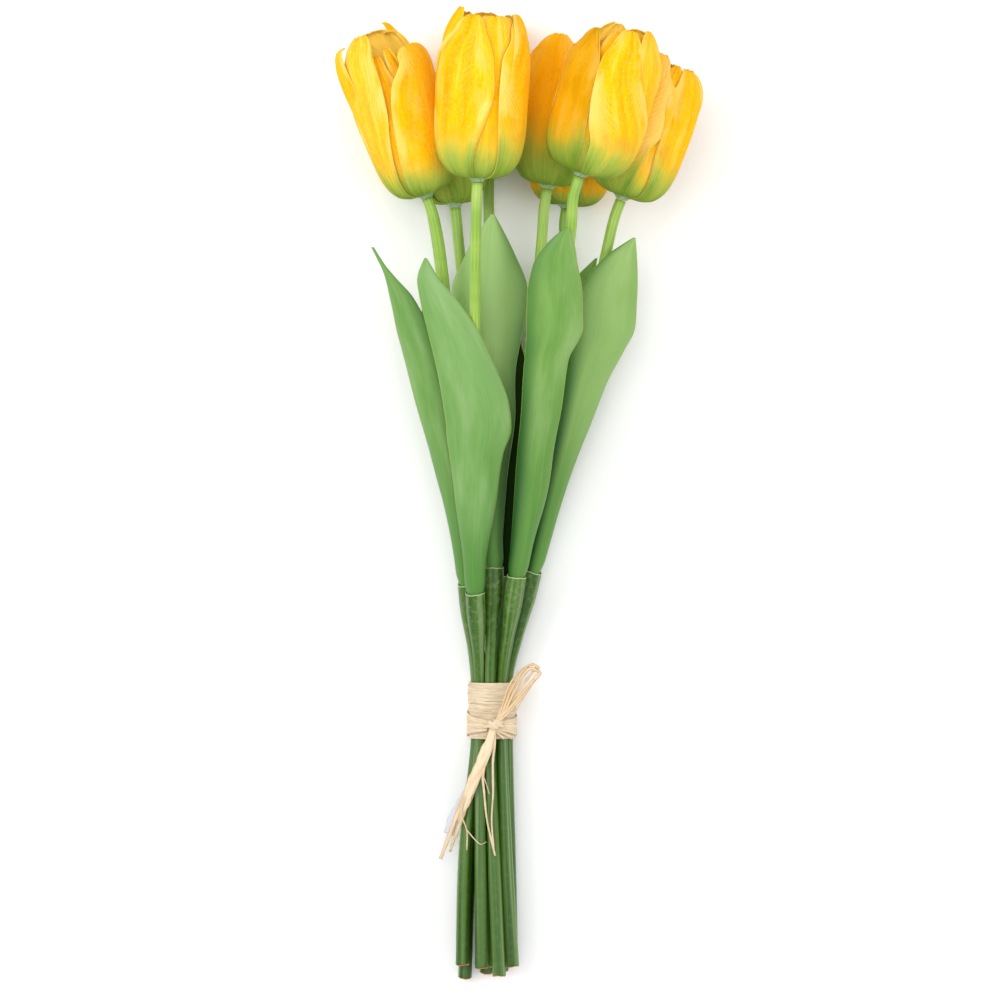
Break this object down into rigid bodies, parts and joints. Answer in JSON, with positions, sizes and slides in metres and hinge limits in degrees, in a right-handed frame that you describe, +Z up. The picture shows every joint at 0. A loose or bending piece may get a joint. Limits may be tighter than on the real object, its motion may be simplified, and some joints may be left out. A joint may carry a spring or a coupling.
{
  "type": "bunch of artificial tulips",
  "caption": "Bunch of yellow artificial tulips with broad green leaves and dark stems, tied round with natural raffia and lying on its side.",
  "frame": {"origin": "middle of the footprint of the bunch, on the surface that it lies on", "axes": "+Z up from the surface, +Y along the bunch from the cut stem ends to the blooms, +X to the right of a viewer who looks down with the blooms at the top"},
  "size_m": [0.1716, 0.4666, 0.1085],
  "materials": {
    "petal": "matte woven fabric",
    "stem": "satin",
    "leaf": "satin, with fine veins",
    "sleeve": "satin",
    "raffia": "natural fibre"
  },
  "bodies": {
    "root": {"bloom_a": "petal", "stem_a": "stem", "leaf_a": "leaf", "sleeve_a": "sleeve", "bloom_b": "petal", "stem_b": "stem", "leaf_b": "leaf", "sleeve_b": "sleeve", "bloom_c": "petal", "stem_c": "stem", "leaf_c": "leaf", "sleeve_c": "sleeve", "bloom_d": "petal", "stem_d": "stem", "leaf_d": "leaf", "sleeve_d": "sleeve", "bloom_e": "petal", "stem_e": "stem", "leaf_e": "leaf", "sleeve_e": "sleeve", "bloom_f": "petal", "stem_f": "stem", "leaf_f": "leaf", "sleeve_f": "sleeve", "bloom_g": "petal", "stem_g": "stem", "leaf_g": "leaf", "sleeve_g": "sleeve", "bloom_h": "petal", "stem_h": "stem", "leaf_h": "leaf", "sleeve_h": "sleeve", "bloom_i": "petal", "stem_i": "stem", "leaf_i": "leaf", "sleeve_i": "sleeve", "raffia_band": "raffia", "raffia_bow": "raffia"}
  },
  "joints": []
}
